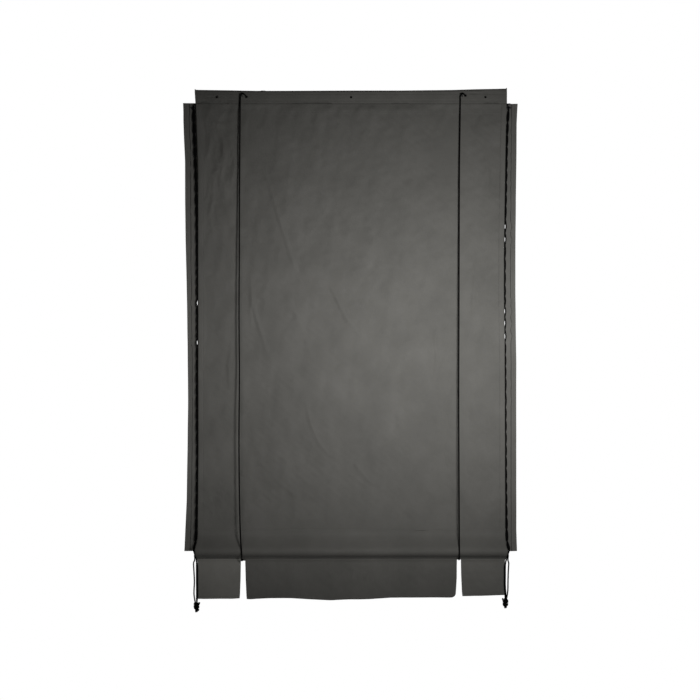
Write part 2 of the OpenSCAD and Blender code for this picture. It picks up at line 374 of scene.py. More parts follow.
WARP_PITCH, WEFT_PITCH = 0.0011, 0.0010
CANVAS_SHADES = [(0.30, (0.0640, 0.0625, 0.0570)), (0.52, (0.0760, 0.0740, 0.0675)),
                 (0.75, (0.0900, 0.0875, 0.0810))]


def cloth_material(name="canvas", painted_light_gain=1.0):
    """Plain-woven canvas with a thin coat: threads 1 mm apart, slubs, and a faint mottling of the dye."""
    m = Nodes(name)
    flat, u, v = m.flat()
    place = m.place()
    bend = m.times(m.minus(m.noise(flat, 90.0), 0.5), 0.0012)
    warp = m.sine(m.times(m.plus(u, bend), 2 * math.pi / WARP_PITCH))
    weft = m.sine(m.times(m.plus(v, bend), 2 * math.pi / WEFT_PITCH))
    weave = m.times(warp, weft)
    long_u = m.stretched(flat, (900.0, 40.0, 1.0))
    long_v = m.stretched(flat, (40.0, 900.0, 1.0))
    slub = m.plus(m.noise(long_u, 1.0, 2.0), m.noise(long_v, 1.0, 2.0))
    mottle = m.noise(place, 9.0, 5.0, 0.6)
    patch = m.noise(place, 2.3, 3.0)
    tone = m.plus(m.times(mottle, 0.55), m.times(patch, 0.45))
    tone = m.plus(tone, m.times(m.minus(slub, 1.0), 0.16))
    tone = m.plus(tone, m.times(weave, 0.03))
    # painted_light_gain makes the whole canvas lighter or darker: painted light for the tail flaps' copies
    colour = m.ramp(tone, [(at, tuple(painted_light_gain * c for c in shade)) for at, shade in CANVAS_SHADES])
    coat = m.noise(place, 26.0, 4.0)
    rough = m.plus(m.times(coat, 0.22), 0.58)
    fine = m.plus(m.times(weave, 0.5), m.times(slub, 1.1))
    soft = m.bump(m.noise(place, 55.0, 4.0, 0.6), 0.0011, 0.45)
    m.set(Base_Color=colour, Roughness=rough, Normal=m.bump(fine, 0.00022, 0.6, soft),
          Sheen_Weight=0.12, Sheen_Roughness=0.5, Specular_IOR_Level=0.26)
    m.shader.inputs["Sheen Tint"].default_value = (0.75, 0.75, 0.72, 1)
    return m.mat


def cord_material():
    """Braided polyester cord: strands crossing at a slant, a little lint."""
    m = Nodes("braided_cord")
    _, u, v = m.flat()
    turn = m.times(u, 2 * math.pi * 6)
    run = m.times(v, 2 * math.pi / (BRAID_PITCH * MM / 2))
    one = m.sine(m.plus(turn, run))
    two = m.sine(m.minus(turn, run))
    braid = m.maths("MAXIMUM", one, two)
    place = m.place()
    fibre = m.noise(place, 1500.0, 3.0, 0.7)
    lint = m.noise(place, 160.0, 5.0, 0.6)
    tone = m.plus(m.times(braid, 0.22), m.times(lint, 0.8))
    colour = m.ramp(tone, [(0.2, (0.0006, 0.0006, 0.0007)), (0.55, (0.0013, 0.0013, 0.0012)),
                           (0.9, (0.0045, 0.0042, 0.0040))])
    height = m.plus(braid, m.times(fibre, 0.8))
    m.set(Base_Color=colour, Roughness=0.72, Normal=m.bump(height, 0.00035, 0.8), Specular_IOR_Level=0.07)
    return m.mat


def thread_material():
    m = Nodes("thread")
    place = m.place()
    colour = m.ramp(m.noise(place, 400.0, 3.0), [(0.3, (0.030, 0.030, 0.028)), (0.7, (0.060, 0.058, 0.054))])
    m.set(Base_Color=colour, Roughness=0.5, Normal=m.bump(m.noise(place, 2500.0), 0.0001, 0.6),
          Specular_IOR_Level=0.45)
    return m.mat


def webbing_material():
    """Flat woven polyester tape with ribs across it."""
    m = Nodes("webbing")
    flat, u, v = m.flat()
    rib = m.sine(m.times(v, 2 * math.pi / 0.0016))
    rows = m.sine(m.times(u, 2 * math.pi / 0.0022))
    height = m.plus(rib, m.times(rows, 0.4))
    tone = m.plus(m.times(height, 0.15), m.noise(flat, 700.0))
    colour = m.ramp(tone, [(0.2, (0.006, 0.0055, 0.0085)), (0.9, (0.017, 0.016, 0.021))])
    m.set(Base_Color=colour, Roughness=0.6, Normal=m.bump(height, 0.0004, 0.8), Specular_IOR_Level=0.4)
    return m.mat


def grip_material():
    """The hook side of a grip tape: rows of short stiff hooks on a woven ground."""
    m = Nodes("hook_tape")
    place = m.place()
    cells = m.add("ShaderNodeTexVoronoi", {"Vector": place, "Scale": 620.0}).outputs["Distance"]
    colour = m.ramp(cells, [(0.05, (0.030, 0.030, 0.032)), (0.5, (0.006, 0.006, 0.007))])
    m.set(Base_Color=colour, Roughness=0.45, Normal=m.bump(cells, 0.0008, 1.0))
    return m.mat


def wood_material():
    """Planed softwood: long grain along the batten, darker summer wood, fine pores."""
    m = Nodes("softwood")
    place = m.place()
    rings = m.noise(m.stretched(place, (3.0, 75.0, 75.0)), 1.6, 4.0, 0.6)
    bands = m.maths("FRACT", m.times(rings, 7.0))
    pores = m.noise(m.stretched(place, (60.0, 1500.0, 1500.0)), 1.0, 2.0)
    tone = m.plus(m.times(bands, 0.7), m.times(pores, 0.4))
    colour = m.ramp(tone, [(0.1, (0.52, 0.36, 0.19)), (0.6, (0.44, 0.28, 0.13)), (1.0, (0.30, 0.17, 0.07))])
    # Painted shade: the bored walls of the three fixing holes are darkened almost to black, for the shade inside
    # them
    x, _, z = m.axes(place)
    x = m.maths("ABSOLUTE", x)
    x = m.maths("MINIMUM", x, m.maths("ABSOLUTE", m.minus(x, FIXING_X * MM)))
    away = m.maths("SQRT", m.plus(m.times(x, x), m.times(z, z)))
    painted_hole_shade = m.maths("MULTIPLY", m.minus(away, 0.0045), 400.0, clamp=True)
    painted_hole_shade = m.plus(m.times(painted_hole_shade, 0.97), 0.03)
    colour = m.add("ShaderNodeVectorMath", {0: colour, "Scale": painted_hole_shade}, operation="SCALE").outputs["Vector"]
    m.set(Base_Color=colour, Roughness=0.6, Normal=m.bump(tone, 0.0002, 0.6))
    return m.mat


def metal_material(name, base, metal, rough, scratch=0.0004):
    """Lacquered or bare metal with fine drawn scratches and slight handling marks."""
    m = Nodes(name)
    place = m.place()
    drawn = m.noise(m.stretched(place, (30.0, 1800.0, 1800.0)), 1.0, 3.0)
    marks = m.noise(place, 140.0, 5.0, 0.65)
    low = tuple(c * 0.75 for c in base)
    high = tuple(min(1.0, c * 1.2 + 0.004) for c in base)
    colour = m.ramp(marks, [(0.3, low), (0.7, high)])
    m.set(Base_Color=colour, Metallic=metal, Normal=m.bump(drawn, scratch, 0.35),
          Roughness=m.plus(m.times(marks, 0.25), rough - 0.12))
    return m.mat


def plastic_material():
    m = Nodes("moulded_cap")
    place = m.place()
    grain = m.noise(place, 900.0, 3.0, 0.6)
    colour = m.ramp(m.noise(place, 60.0), [(0.3, (0.012, 0.012, 0.012)), (0.7, (0.022, 0.022, 0.022))])
    m.set(Base_Color=colour, Roughness=m.plus(m.times(grain, 0.2), 0.38),
          Normal=m.bump(grain, 0.00025, 0.6))
    return m.mat


def floor_material():
    m = Nodes("pale_floor")
    place = m.place()
    colour = m.ramp(m.noise(place, 1.2, 4.0), [(0.2, (0.80, 0.80, 0.79)), (0.8, (0.86, 0.86, 0.85))])
    m.set(Base_Color=colour, Roughness=0.7)
    return m.mat


CANVAS = cloth_material()
# Painted light: lighter and darker copies of the canvas for the tail flaps, standing for how the light falls on
# each flap
CANVAS_PAINTED_LIGHT = cloth_material("canvas_painted_light", 1.78)
CANVAS_PAINTED_SHADE = cloth_material("canvas_painted_shade", 0.97)
CANVAS_PAINTED_HALF_LIGHT = cloth_material("canvas_painted_half_light", 1.15)
CORD = cord_material()
THREAD = thread_material()
WEBBING = webbing_material()
GRIP = grip_material()
WOOD = wood_material()
WIRE = metal_material("black_wire", (0.018, 0.018, 0.018), 0.35, 0.38)
EYELET = metal_material("black_eyelet", (0.016, 0.016, 0.017), 0.5, 0.36)
TUBE = metal_material("mill_aluminium", (0.78, 0.79, 0.80), 1.0, 0.38)
CAP = plastic_material()
FLOOR = floor_material()

# -------- levels, in mm
CORD_R = 2.3
SEAM_TOP = -20.5
SEAM_LOW = -1386.0
CLOTH_Y = -13.0
PANEL_WIDE, CUT_WIDE = 984.0, 996
CLOTH_STEP, STITCH = 4.0, 3.6
PULL_Y = -7.5
ROD_Z = -1452.0
PAIR_TOP, SPLIT = -38.5, -1482.0
STRAND_TOP, STRAND_LOW = -8.0, -1451.8
BACK_Y = -5.6
BACK_TOP = -40.0
CROSSINGS = {"left": -346.0, "right": 345.0}
BACK_TOP_X = {"left": -350.0, "right": 345.0}
SIDES = {"left": -1, "right": 1}

# -------- cords
# The front strands hang from their eyes and lean in a little where they come over the roll
FRONT_ROUTE = {
    "left": [(-354.4, -20.3, -8.0), (-356.2, -23.7, -200), (-356.6, -30.8, -600), (-356.4, -39.6, -1130),
             (-354.4, -42.8, -1320), (-351.0, -44.6, -1420), (-348.6, -45.0, STRAND_LOW)],
    "right": [(349.2, -20.3, -8.0), (346.4, -24.0, -220), (344.4, -30.8, -600), (344.0, -39.6, -1130),
              (344.6, -42.8, -1320), (345.0, -45.0, STRAND_LOW)],
}
CORD_STEP = 1.8
# Below this the front strands lie over the roll and rise with it
OVER_ROLL = -1386.0


def cord(name, path, nodes, body=None, swell=0):
    """A cord along a path, in place of the CAD nodes, and riding on a body if one is given."""
    obj = tube(name, path, CORD_R, CORD, swell=swell)
    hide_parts(*nodes)
    if body:
        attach(obj, body)
    return obj


def gather(obj):
    """Gives the piece a mesh of its own."""
    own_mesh(obj)


def sway(path, size, wavelength, seed):
    """A taut cord is never quite straight: it leaves its line by a fraction of a millimetre."""
    run = np.linspace(0, 1, len(path))
    length = path_length(path)
    fade = np.sin(math.pi * run) ** 0.5
    path = path.copy()
    path[:, 0] += size * fade * wobble(run * length, 0 * run, wavelength, seed)
    path[:, 1] += 0.5 * size * fade * wobble(run * length, 0 * run, wavelength, seed + 1)
    return path


for side in SIDES:
    seed = 10 if side == "left" else 20
    path = sway(resample(FRONT_ROUTE[side], CORD_STEP), 0.4, 420, seed)
    over_roll = path[path[:, 2] < OVER_ROLL]
    path = path[path[:, 2] > OVER_ROLL - 1.5 * CORD_STEP]
    gather(cord(f"front_cord_{side}", path, [f"front_strand_{side}"], "head"))

    top = (BACK_TOP_X[side], BACK_Y, BACK_TOP)
    low = (CROSSINGS[side], BACK_Y, STRAND_LOW)
    path = sway(resample([top, low], CORD_STEP), 0.4, 420, seed + 5)
    gather(cord(f"back_cord_{side}", path, [f"back_strand_{side}"], "head"))

    x = CROSSINGS[side]
    fx, fs = FRONT_ROUTE[side][-1][:2]
    low = ROD_Z - (30.5 if side == "left" else 27.5)
    path = resample([(fx, fs, ROD_Z + 0.2), (fx, fs + 0.6, ROD_Z - 9), (fx, fs + 7, low + 7),
                     (fx, fs + 20, low), (x, -10.5, low + 3), (x, -6.6, ROD_Z - 15),
                     (x, BACK_Y, ROD_Z + 0.2)], 1.2)
    path = np.vstack([over_roll[:-1], path])
    cord(f"sling_cord_{side}", path, [f"sling_bight_{side}"], "roll")

runs = {
    "front_run_left": [(-354, -20.3, -8), (-353.5, -20.3, 2), (-349, -20, 9), (-341, -17.5, 8), (-335, -12.5, 1),
                       (-328, -8.4, 6), (-316, -8.2, 13.3), (470, -8.2, 13.3), (482, -8.2, 9), (486, -8.2, -6),
                       (488, -8, -21), (495, -8, -27), (502, -9, -30), (505, -9.8, -38)],
    "front_run_right": [(349, -20.3, -8), (349.5, -20.3, 1), (353, -20, 8), (360, -17, 9.5), (366, -12.5, 5),
                        (373, -6, 9), (386, -3.6, 13.3), (470, -3.6, 13.3), (482, -3.6, 9), (486, -4.2, -6),
                        (488, -5.2, -15), (495, -5.4, -26), (502, -5.4, -30), (505, -5.6, -38)],
    "back_run_left": [(-350, -5.6, -40), (-351, -5.6, -34), (-357, -5.6, -30.2), (-480, -5.6, -30.2),
                      (-495, -5.6, -29.5), (-502, -5.6, -31), (-505, -5.6, -38)],
    "back_run_right": [(345, -5.6, -40), (344, -5.6, -34), (338, -5.6, -28), (326, -5.6, -25.8),
                       (-480, -5.6, -25.8), (-495, -8.5, -26.5), (-502, -9.8, -30), (-505, -9.8, -38)],
}
for name, points in runs.items():
    cord(name.replace("run", "cord_run"), resample(pinned(points), CORD_STEP), [name], "head")

# -------- twisted pull cords
def hanging(*points):
    """A route in the plane where the pull cords hang, from its x and z in mm."""
    return [(x, PULL_Y, z) for x, z in points]


PAIR_ROUTE = {
    "left": [(-504.5, -7.6, -38.5)] + hanging(
        (-503.6, -75), (-501.6, -130), (-497.0, -250), (-493.4, -420), (-492.2, -700), (-493.4, -1000),
        (-492.0, -1150), (-494.4, -1300), (-496.6, -1390), (-498.6, -1420), (-500.4, -1436),
        (-502.8, -1446), (-501.2, -1455), (-500.6, -1465), (-498.4, -1474), (-498.0, -1482)),
    "right": [(504.5, -7.6, -38.5)] + hanging(
        (501.6, -85), (499.0, -150), (496.0, -290), (492.4, -500), (492.2, -700), (493.8, -900),
        (495.0, -1100), (496.8, -1300), (498.8, -1385), (500.6, -1422), (504.0, -1440), (506.0, -1446),
        (504.2, -1453), (503.4, -1462), (501.2, -1472), (499.8, -1482)),
}
# Where the two strands part into an eye, down each side, and by how much beyond touching
EYES = {
    "left": [(-365, 0.2), (-406, 0), (-448, 0), (-490, 0), (-531, 0.1), (-560, 0.15), (-588, 0.15),
             (-618, 0.15), (-659, 0.8), (-687, 0.1), (-712, 0), (-739, 0.2), (-762, 0), (-784, 0.8),
             (-819, 0), (-858, 0)],
    "right": [(-330, 0), (-368, 0), (-414, 0.8), (-456, 0.7), (-496, 0.1), (-538, 0), (-580, 0),
              (-624, 0.1), (-652, 0.3), (-686, 0.8), (-724, 0.9), (-766, 1.2), (-806, 0), (-845, 0),
              (-880, 0), (-918, 0.2), (-972, 0.3), (-1015, 0)],
}
EYE_PITCH = 38.0
LOOPS = {
    "left": {
        "inner": [
            (-495.0, -8.5, -1482), (-493.8, -12.5, -1490), (-493.0, -17.0, -1499), (-492.8, -18.0, -1545),
            (-492.6, -17.0, -1590), (-493.4, -11.5, -1610), (-494.0, -7.5, -1622)],
        "outer": hanging(
            (-499.8, -1482), (-503.4, -1489), (-504.0, -1500), (-503.0, -1522), (-501.8, -1550),
            (-503.0, -1590), (-501.0, -1608), (-498.2, -1622))},
    "right": {
        "inner": [
            (497.0, -8.5, -1482), (494.6, -12.5, -1490), (492.6, -17.0, -1499), (492.2, -18.0, -1530),
            (492.2, -18.0, -1565), (494.2, -14.0, -1592), (494.0, -7.5, -1608)],
        "outer": hanging(
            (501.8, -1482), (504.6, -1489), (504.8, -1500), (503.8, -1522), (503.0, -1550), (502.2, -1582),
            (498.2, -1608))},
}
KNOT_TOP = {"left": -1616.5, "right": -1603.5}
KNOT_X, KNOT_CORD_R = 495.0, 2.6
TURN_RADII = (5.9, 7.0, 6.8, 5.8)


def pull_paths(side):
    """The centrelines of a side's two strands: a loose lay down the blind, then the two arms of the loop."""
    sign = SIDES[side]
    centre = resample(PAIR_ROUTE[side], 1.5)
    z = centre[:, 2]
    eyes = EYES[side]
    above = [(eyes[0][0] + EYE_PITCH * k, 0.0) for k in range(12, 0, -1)]
    above = [e for e in above if e[0] < PAIR_TOP - 5]
    count = int(round((eyes[-1][0] - SPLIT) / EYE_PITCH))
    pitch = (eyes[-1][0] - SPLIT) / count
    below = [(eyes[-1][0] - pitch * k, 0.0) for k in range(1, count + 1)]
    stops = above + eyes + below
    at = np.array([-e[0] for e in stops])
    phase = math.pi * np.interp(-z, at, np.arange(len(stops)))
    first = -z < at[0]
    phase[first] = math.pi * (-z[first] - at[0]) / EYE_PITCH
    if sign * math.cos(phase[-1]) < 0:
        phase = phase + math.pi
    spread = np.zeros(len(z))
    for where, size in stops:
        spread = np.maximum(spread, size * np.exp(-((z - where) / 9.0) ** 2))
    wide = CORD_R + 0.12 + spread
    paths = []
    for strand in (1, -1):
        path = centre.copy()
        path[:, 0] += strand * wide * np.sign(np.cos(phase)) * np.abs(np.cos(phase)) ** 0.6
        path[:, 1] += strand * (CORD_R + 0.1) * np.sin(phase)
        paths.append(path)
    if abs(paths[0][-1][0]) < abs(paths[1][-1][0]):
        inner, outer = paths
    else:
        outer, inner = paths
    whole = {}
    for name, top in (("inner", inner), ("outer", outer)):
        low = resample(LOOPS[side][name], 1.5)
        join = top[-1] - low[0]
        fade = unit(1 - np.arange(len(low)) / 20.0)[:, None]
        whole[name] = resample(np.vstack([top[:-3:6], (low + join * fade)[1::6], low[-1:]]), CORD_STEP)
    return whole


def knot_paths(side):
    """An overhand knot of both strands: slanting turns round the cords, a bight tucked out, and the cut tails."""
    sign = SIDES[side]
    top = KNOT_TOP[side]
    x = KNOT_X * sign
    turns = []
    for k, r in enumerate(TURN_RADII):
        t = np.linspace(0, 1, 90)
        a = math.pi * (0.25 + 0.7 * k) + 2 * math.pi * 1.15 * t
        drop = top - 4.0 - 7.0 * t - 5.4 * k
        lean = 0.34 * r * np.cos(a) * sign
        turns.append(np.stack([x + r * np.cos(a), PULL_Y + 0.85 * r * np.sin(a), drop + lean], 1))
    barb = resample([(x - 1.5 * sign, -10.0, top - 12), (x - 7.4 * sign, -9.6, top - 7),
                     (x - 9.6 * sign, -9.2, top - 1.5), (x - 7.6 * sign, -8.4, top - 7.5),
                     (x - 2.5 * sign, -8.0, top - 12)], 0.8)
    tails = []
    for side_x, low in ((-1.9, -34.0), (1.9, -33.0)):
        tails.append(resample([(x + side_x * 1.5, PULL_Y, top - 2), (x + side_x * 1.5, PULL_Y, top - 12),
                               (x + side_x * 1.3, -7.6, top - 22), (x + side_x * 0.9, -7.8, top + low)], 1.0))
    return turns + [barb] + tails


def joined(name, objects):
    """One piece made of several meshes."""
    bpy.ops.object.select_all(action="DESELECT")
    for obj in objects:
        obj.select_set(True)
    bpy.context.view_layer.objects.active = objects[0]
    bpy.ops.object.join()
    objects[0].name = name
    return objects[0]


for side, sign in SIDES.items():
    parts = [tube(f"knot_part_{i}", p, KNOT_CORD_R, CORD, taper=(0, 2 if i > 4 else 0))
             for i, p in enumerate(knot_paths(side))]
    knot = joined(f"knot_{side}", parts)
    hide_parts(f"pull_knot_{side}")
    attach(knot, f"pull_{side}")
    for name, path in pull_paths(side).items():
        # The inner arm is drawn thicker, from the roll's foot to the knot
        z = path[:, 2]
        thickened = unit((-1488 - z) / 14.0) * unit((z - KNOT_TOP[side] + 2) / 10.0)
        swell = 0.5 * thickened if name == "inner" else 0 * z
        strand = cord(f"pull_cord_{side}_{name}", path, [f"pull_pair_{side}", f"pull_loop_{side}"],
                      swell=swell)
        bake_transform(strand)

# -------- cloth: the main panel
left_edge = profile([(0, -497.6), (-20, -497.6), (-60, -495.5), (-110, -493.8), (-235, -489.8), (-500, -489.6),
                     (-820, -489.4), (-1130, -488.8), (-1300, -490.0), (-1386, -490.8)])
right_edge = profile([(0, 498.8), (-20, 498.6), (-80, 496.6), (-150, 495.2), (-330, 492.4), (-460, 489.8),
                      (-650, 489.8), (-780, 492.0), (-970, 492.8), (-1290, 493.6), (-1386, 493.8)])

CREASES = [
    ([(-285, -215), (-266, -269), (-232, -380), (-195, -500), (-163, -589)], 6, 2.6),
    ([(-322, -560), (-318, -640), (-305, -700), (-282, -770), (-266, -829)], 6, 2.8),
    ([(-312, -600), (-322, -680), (-318, -740)], 5, 1.6),
    ([(-72, -596), (-51, -634), (-20, -700), (26, -762)], 5, 2.6),
    ([(282, -720), (270, -770), (276, -830), (268, -900)], 5, 2.4),
    ([(330, -90), (317, -122), (300, -160), (284, -205)], 6, 2.2),
    ([(-150, -960), (-141, -989), (-128, -1050), (-100, -1110), (-60, -1160)], 6, 2.4),
    ([(10, -1165), (19, -1184), (58, -1229), (80, -1245)], 6, 2.2),
    ([(-380, -780), (-392, -860), (-386, -940)], 6, 1.8),
    ([(400, -560), (396, -600), (388, -680)], 6, 2.2),
    ([(425, -150), (440, -260), (432, -340)], 6, 1.8),
    ([(352, -300), (346, -360), (350, -430)], 9, 0.9),
    ([(-420, -105), (-404, -190), (-418, -260), (-428, -330)], 6, 2.6),
    ([(-455, -90), (-430, -150), (-440, -215)], 6, 2.2),
    ([(-446, -230), (-438, -300), (-452, -380), (-440, -450)], 6, 2.2),
    ([(-392, -120), (-372, -200), (-384, -290)], 6, 1.8),
    ([(-470, -60), (-440, -84), (-405, -92)], 5, 1.6),
    ([(-330, -60), (-300, -92), (-280, -140)], 6, 1.6),
    ([(-200, -640), (-150, -760), (-120, -850)], 10, 1.5),
    ([(60, -330), (150, -500), (180, -640)], 12, -1.4),
    ([(-60, -420), (-20, -560), (60, -620)], 12, -1.3),
    ([(200, -980), (150, -1080), (60, -1150)], 12, 1.4),
    ([(-300, -1230), (-180, -1290), (0, -1310)], 14, -1.3),
]


def fine_relief(x, z, seed, size=1.0):
    """The small unevenness that a hung canvas always has."""
    return size * (0.22 * wobble(x, z, 26, seed) + 0.5 * wobble(x * 1.3, z * 0.7, 70, seed + 1)
                   + 0.8 * wobble(x * 1.4, z * 0.5, 190, seed + 2, 10))


def puckers(x, z, wavelength, seed):
    """Small sharp ridges with flat cloth between them."""
    return unit(1.0 - 1.5 * np.abs(wobble(x, z, wavelength, seed))) ** 1.5


def panel_relief(x, z):
    """How far the panel stands forward of its plane."""
    h = fine_relief(x, z, 100)
    h = h + 1.6 * wobble(x * 1.5, z * 0.45, 620, 103, 8)
    for points, width, height in CREASES:
        h = h + crease(x, z, points, width, height)
    near_hem = np.exp(-(SEAM_TOP - z) / 45.0)
    h = h + near_hem * (1.2 * wobble(x, 0.15 * z, 34, 104) + 1.0 * wobble(x, 0.1 * z, 85, 105))
    for edge in (left_edge(z), right_edge(z)):
        near_edge = np.exp(-np.abs(x - edge) / 26.0)
        h = h + near_edge * (0.7 * wobble(0.2 * x, z, 48, 106) + 0.8 * wobble(0.2 * x, z, 120, 107))
    for column, middle, size in ((-430, -220, 1.9), (430, -700, 1.0)):
        where = bell(x, column, 62) * bell(z, middle, 260)
        h = h + where * size * (0.7 * wobble(x * 1.3, z * 0.6, 60, 108) + 0.9 * puckers(x, 0.5 * z, 62, 109))
    h = h + near_hem * 1.3 * puckers(x, 0.4 * z, 70, 110) + 0.5 * puckers(x, 0.6 * z, 210, 111)
    fade = unit((SEAM_TOP - z) / 22.0) * unit((z - SEAM_LOW) / 40.0)
    h = h * (fade * fade * (3 - 2 * fade))
    inward = np.minimum(x - left_edge(z), right_edge(z) - x)
    h = np.clip(h, -3.2 * unit((inward - 12) / 14), 4.4 - 0.016 * z)
    return h + 0.7 * unit((z + 50.5) / 2.0) + side_hem(inward)


def side_hem(inward):
    """The doubled cloth of a side hem and the dip along its row of stitches."""
    return 0.55 * unit((19.0 - inward) / 2.0) - 0.5 * bell(inward, 17.0, 1.6) - turned(inward)


def rows_between(top, low, step):
    return np.linspace(top, low, int(round((top - low) / step)) + 1)


def hang(obj, node, body):
    """A piece of cloth: what it stands for, and the body it rides on."""
    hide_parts(node)
    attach(obj, body)
    return obj


z_rows = rows_between(SEAM_TOP + 0.5, SEAM_LOW - 2.5, CLOTH_STEP)
u_cols = spaced(PANEL_WIDE, CLOTH_STEP) / PANEL_WIDE
Z, U = np.meshgrid(z_rows, u_cols, indexing="ij")
X = left_edge(Z) * (1 - U) + right_edge(Z) * U
Y = CLOTH_Y - panel_relief(X, Z)
panel = cloth("main_panel_cloth", stacked(X, Y, Z), 1.0, CANVAS,
              stacked((U - 0.5) * CUT_WIDE, Z))
hang(panel, "main_panel", "head")
gather(panel)


# -------- stitching
def stitches(name, path, body, out=(0.0, -1.0, 0.0), radius=0.28, lift=0.12):
    """A row of machine stitches along a path: each is a short thread that dips into the cloth at both ends.
    out is the way that the cloth faces."""
    out = np.broadcast_to(np.asarray(out, float), path.shape)
    across = [-1.0, -0.55, 0.0, 0.55, 1.0]
    depth = [-0.5, 0.15, 0.3, 0.15, -0.5]
    vertices, faces = [], []
    for a, b, n in zip(path[:-1], path[1:], out[:-1]):
        mid, half = (a + b) / 2, (b - a) * 0.44
        length = np.linalg.norm(half)
        if length < 1e-6:
            continue
        side = np.cross(half / length, n)
        base = len(vertices)
        for t, d in zip(across, depth):
            centre = mid + half * t + n * (lift + d * 0.5)
            r = radius * (0.75 if abs(t) > 0.9 else 1.0)
            vertices += [centre + side * r, centre + n * r, centre - side * r, centre - n * r]
        for k in range(4):
            for s in range(4):
                i, j = base + 4 * k + s, base + 4 * k + (s + 1) % 4
                faces.append([i, j, j + 4, i + 4])
        faces.append([base + 3, base + 2, base + 1, base])
        faces.append([base + 16, base + 17, base + 18, base + 19])
    obj = new_object(name, (np.array(vertices) * MM).tolist(), faces, None, THREAD)
    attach(obj, body)
    return obj


def panel_point(x, z):
    x, z = np.broadcast_arrays(np.asarray(x, float), np.asarray(z, float))
    return stacked(x, CLOTH_Y - panel_relief(x, z), z)


def level_row(x, y, z):
    return np.stack([x, np.full(len(x), y), np.full(len(x), z)], 1)


edge_z = np.arange(SEAM_TOP - 2, SEAM_LOW + 6, -STITCH)
rows = [("hem_thread_left", panel_point(left_edge(edge_z) + 17.0, edge_z)),
        ("hem_thread_right", panel_point(right_edge(edge_z) - 17.0, edge_z)),
        ("hem_thread_top", panel_point(np.arange(-492, 494, STITCH), -49.5))]
for name, path in rows:
    gather(stitches(name, path, "head"))

# -------- cloth: the top hem
hem_rise = profile([(-500, 23.2), (-480, 22.7), (-435, 22.0), (-394, 21.5), (-330, 20.2),
                    (-291, 19.6), (-163, 20.0), (0, 20.8), (157, 20.8), (320, 22.4), (397, 24.8),
                    (461, 26.0), (500, 27.0)], 18)


def hem_section(top):
    """The outline of the hem round the batten, from the seam up the front, over the top and down the back."""
    return [(-13.0, -20.5), (-13.1, -14.0), (-13.3, -9.0), (-13.3, 0.0), (-13.2, 9.0), (-12.6, top - 4.5),
            (-10.6, top - 1.0), (-7.4, top), (-3.6, top - 0.4), (-0.6, top - 2.6), (0.8, top - 7.5), (1.0, 6.0),
            (1.0, -6.0), (0.9, -11.0), (-1.4, -13.6), (-6.5, -17.2), (-11.2, -20.1)]


HEM_LEFT, HEM_RIGHT = -497.8, 499.0
HEM_ROWS = 64
hem_x = HEM_LEFT + spaced(HEM_RIGHT - HEM_LEFT, CLOTH_STEP)
hem_grid = []
for x in hem_x:
    section = np.array([(0.0, y, z) for y, z in hem_section(float(hem_rise(x)))])
    line = resample(section, 1.2)
    keep = np.linspace(0, len(line) - 1, HEM_ROWS)
    line = at_places(line, np.arange(len(line)), keep)
    line[:, 0] = x
    hem_grid.append(line)
hem_grid = np.array(hem_grid).transpose(1, 0, 2)
hem_normals = normals_of(hem_grid)
front_part = (hem_grid[:, :, 1] < -9) & (hem_grid[:, :, 2] < 19)
hx, hz = hem_grid[:, :, 0], hem_grid[:, :, 2]
relief = 0.35 * wobble(hx, hz * 0.5, 90, 120) + 0.18 * wobble(hx, hz, 26, 121)
relief = relief + 0.5 * wobble(hx, hz * 0.2, 300, 122)
relief = relief + 0.9 * bell(hz, 12.5, 3.4) * unit((hx - 372) / 8) * unit((430 - hx) / 40)
relief = relief + 0.5 * bell(hz, 11.0, 2.0) + 0.35 * bell(hz, -11.0, 2.0)
for sx, sz in FIXINGS + CORD_HOLES:
    relief = relief * (1 - bell(np.hypot(hx - sx, hz - sz), 0, 11)) - 0.3 * bell(np.hypot(hx - sx, hz - sz), 0, 9)
ends = turned(np.minimum(hx - HEM_LEFT, HEM_RIGHT - hx), 4.2, 3.6)
relief = relief + 0.8 * puckers(hx, hz, 46, 123) * unit((-300 - hx) / 60)
hem_grid = hem_grid + hem_normals * (relief * front_part - ends)[..., None]
hem_grid[:, :, 0] -= 2.4 * unit((hz + 20) / 36) * unit((-440 - hx) / 50)
hem_flat = stacked(hx, np.broadcast_to(np.linspace(0, 95, HEM_ROWS)[:, None], hx.shape))
hem = cloth("top_hem_cloth", hem_grid, 1.0, CANVAS, hem_flat)


def cut_round_holes(obj, holes):
    """Holes through the cloth along y: x, z, radius, from y, to y, in mm."""
    cutters = []
    for x, z, r, y0, y1 in holes:
        bpy.ops.mesh.primitive_cylinder_add(
            vertices=32, radius=r * MM, depth=(y1 - y0) * MM, rotation=(math.radians(90), 0, 0),
            location=(x * MM, (y0 + y1) / 2 * MM, z * MM))
        cutters.append(bpy.context.object)
    cutter = joined("cutter", cutters)
    modifier = obj.modifiers.new("holes", "BOOLEAN")
    modifier.operation = "DIFFERENCE"
    modifier.solver = "EXACT"
    modifier.object = cutter
    bpy.context.view_layer.objects.active = obj
    bpy.ops.object.modifier_apply(modifier="holes")
    bpy.data.objects.remove(cutter)


cut_round_holes(hem, [(x, z, 3.7, -16, -9) for x, z in FIXINGS] + [(x, z, 4.2, -16, -9) for x, z in CORD_HOLES])
hang(hem, "top_hem", "head")
stitches("seam_thread_top", level_row(np.arange(-494, 497, STITCH), -13.4, -17.6), "head")

